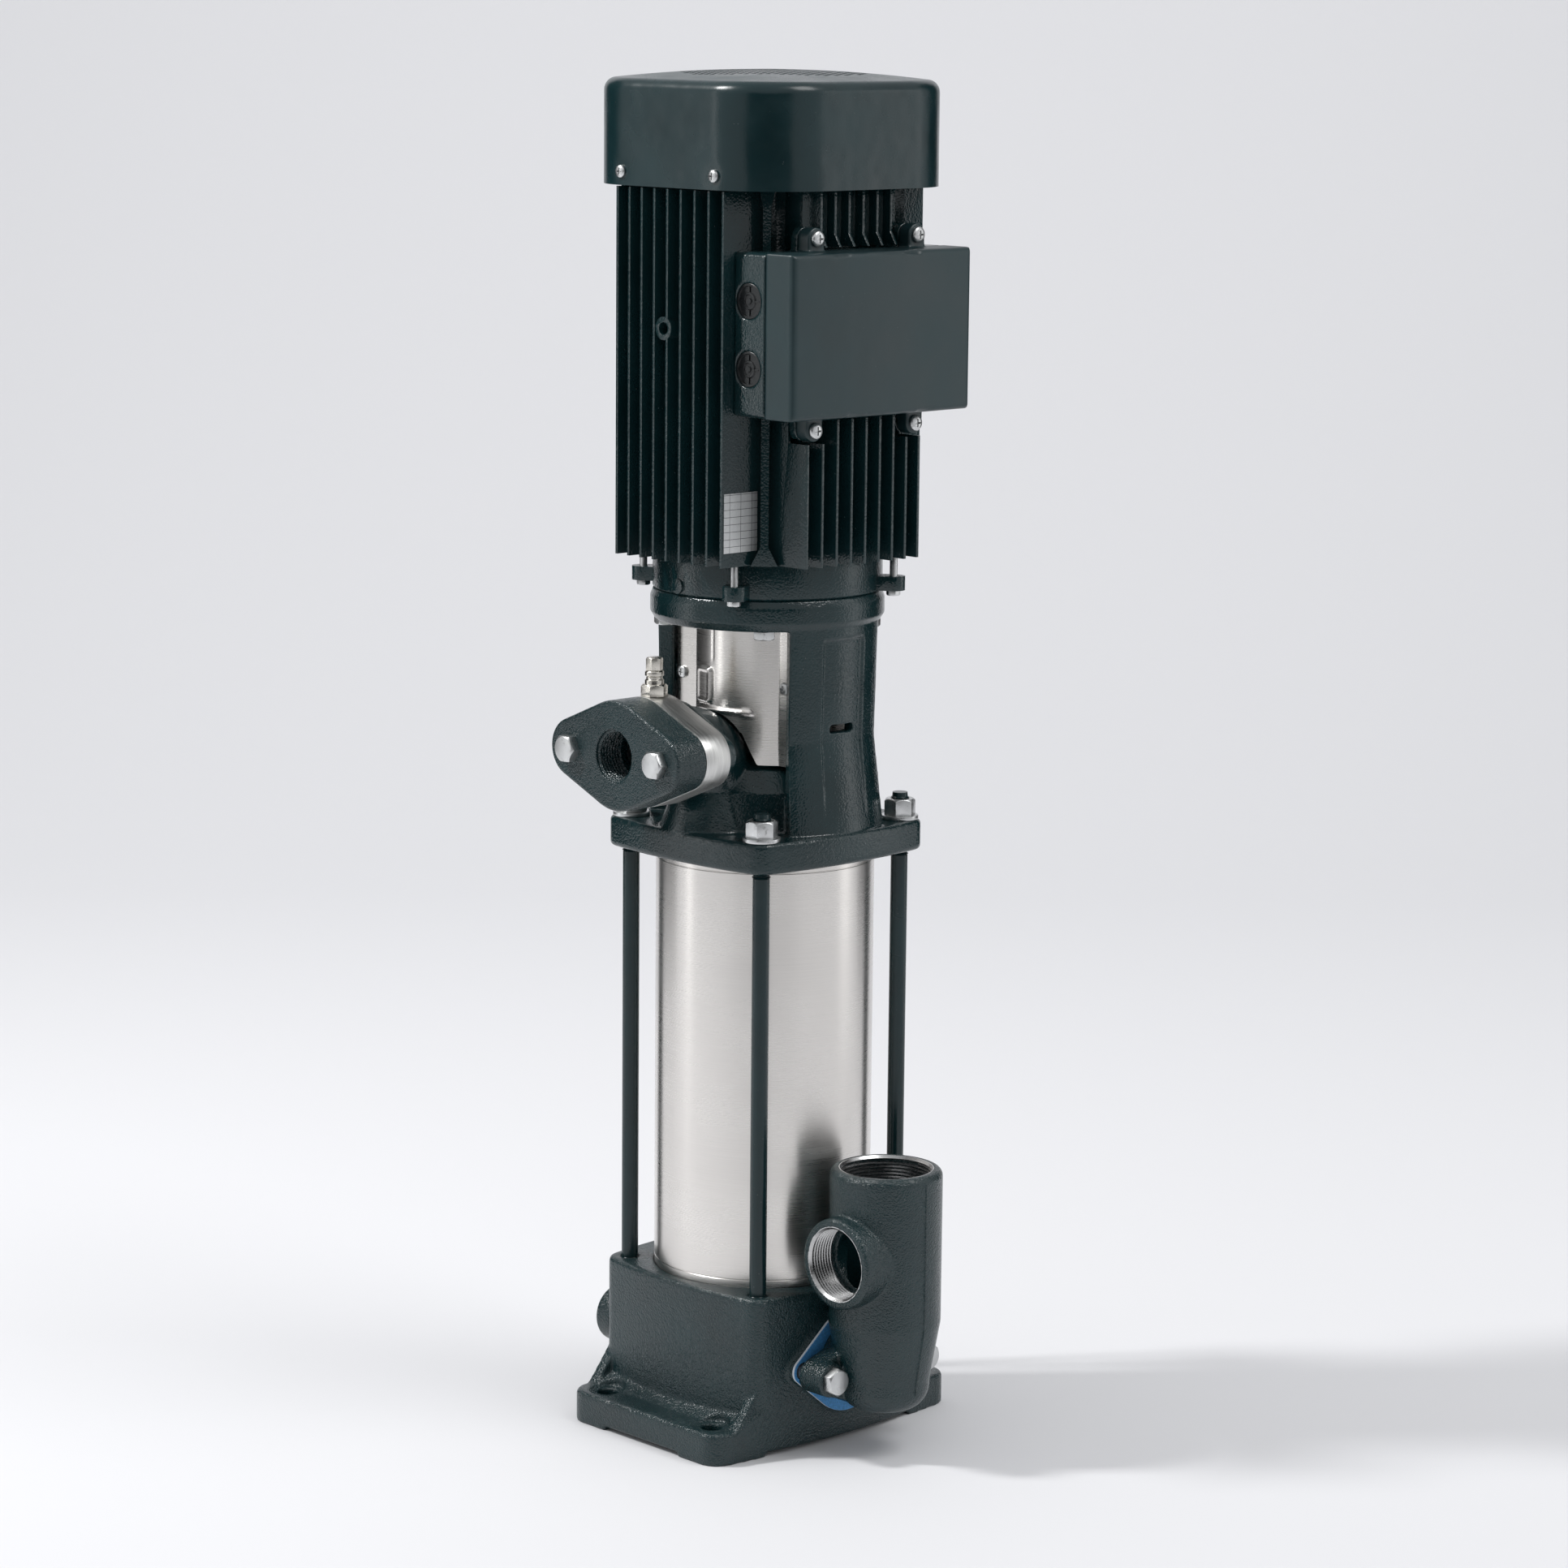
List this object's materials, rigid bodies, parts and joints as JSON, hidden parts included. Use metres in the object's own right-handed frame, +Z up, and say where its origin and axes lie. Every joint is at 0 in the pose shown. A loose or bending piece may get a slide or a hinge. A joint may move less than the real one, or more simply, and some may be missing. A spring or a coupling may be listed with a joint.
{
  "type": "vertical multistage pump",
  "caption": "Vertical multistage pump with a finned motor on top, sleeve with stay bolts, side discharge flange and a two-way suction elbow on the base",
  "frame": {"origin": "On the floor, at the centre of the four foot holes, which is also on the pump's shaft axis", "axes": "+Z up along the shaft, +X towards the base port with the two-way elbow and the terminal box, -Y towards the discharge flange"},
  "size_m": [0.2539, 0.2439, 0.8745],
  "materials": {
    "textured_casting": "dark green-grey paint over a rough sand casting",
    "gloss_casting": "dark green-grey gloss paint",
    "gloss_sheet": "dark green-grey gloss paint on pressed sheet",
    "satin_lid": "dark grey satin",
    "painted_stay": "dark paint brushed over steel studs",
    "gasket_sheet": "blue fibre gasket sheet",
    "seal_rubber": "black rubber",
    "zinc_fastener": "bright zinc",
    "stainless_sheet": "brushed stainless sheet",
    "bare_flange": "bare turned iron",
    "nickel_brass": "nickel plate",
    "seal_ceramic": "dark polished ceramic and carbon",
    "coupling_iron": "machined iron",
    "shaft_steel": "ground steel",
    "lamination_steel": "oiled laminations",
    "winding_copper": "varnished copper",
    "fan_plastic": "black moulded plastic",
    "blank_plate": "blank satin plate"
  },
  "bodies": {
    "pump": {"base_casting": "textured_casting", "suction_gasket": "gasket_sheet", "blind_gasket": "gasket_sheet", "suction_elbow": "textured_casting", "elbow_bolts": "zinc_fastener", "blind_flange": "textured_casting", "blind_flange_bolts": "zinc_fastener", "outer_sleeve": "stainless_sheet", "sleeve_seals": "seal_rubber", "stay_bolts": "painted_stay", "stay_washers": "zinc_fastener", "stay_nuts": "zinc_fastener", "head_stool": "gloss_casting", "vent_flange": "bare_flange", "counter_flange": "textured_casting", "counter_flange_bolts": "zinc_fastener", "vent_body": "nickel_brass", "inlet_guide": "stainless_sheet", "lower_bearing": "seal_ceramic", "stage_chambers": "stainless_sheet", "stack_clamp_ring": "stainless_sheet", "seal_seat": "seal_ceramic", "coupling_guard_front": "stainless_sheet", "coupling_guard_back": "stainless_sheet", "guard_screws": "zinc_fastener", "motor_flange_bolts": "zinc_fastener", "drive_end_shield": "gloss_casting", "tie_bolts": "zinc_fastener", "motor_housing": "gloss_casting", "stator_core": "lamination_steel", "stator_windings": "winding_copper", "bearing_outer_rings": "shaft_steel", "rear_end_shield": "gloss_casting", "fan_cover": "gloss_sheet", "cover_screws": "zinc_fastener", "terminal_box": "gloss_casting", "terminal_box_lid": "satin_lid", "lid_screws": "zinc_fastener", "entry_plugs": "fan_plastic", "terminal_block": "fan_plastic", "nameplate": "blank_plate"},
    "rotor": {"motor_shaft": "shaft_steel", "rotor_core": "lamination_steel", "cooling_fan": "fan_plastic", "bearing_inner_rings": "shaft_steel", "coupling_half_front": "coupling_iron", "coupling_half_back": "coupling_iron", "coupling_screws": "zinc_fastener", "shaft_pin": "shaft_steel", "pump_shaft": "shaft_steel", "impellers": "stainless_sheet", "seal_ring": "seal_ceramic"},
    "vent_stem": {"vent_needle": "nickel_brass"},
    "vent_knob": {"vent_cap": "nickel_brass"}
  },
  "joints": [
    {"name": "rotor_spin", "type": "hinge", "parent": "pump", "child": "rotor", "pos_m": [0, 0, 0.494], "axis": [0, 0, 1], "continuous": true},
    {"name": "vent_lift", "type": "slide", "parent": "pump", "child": "vent_stem", "axis": [0, 0, 1], "range_m": [0, 0.002]},
    {"name": "vent_turn", "type": "hinge", "parent": "vent_stem", "child": "vent_knob", "pos_m": [0, -0.097, 0.5], "axis": [0, 0, 1], "range_deg": [0, 720]}
  ],
  "couplings": [
    {"joint": "vent_turn", "follows": "vent_lift", "rad_per_m": 6283}
  ]
}
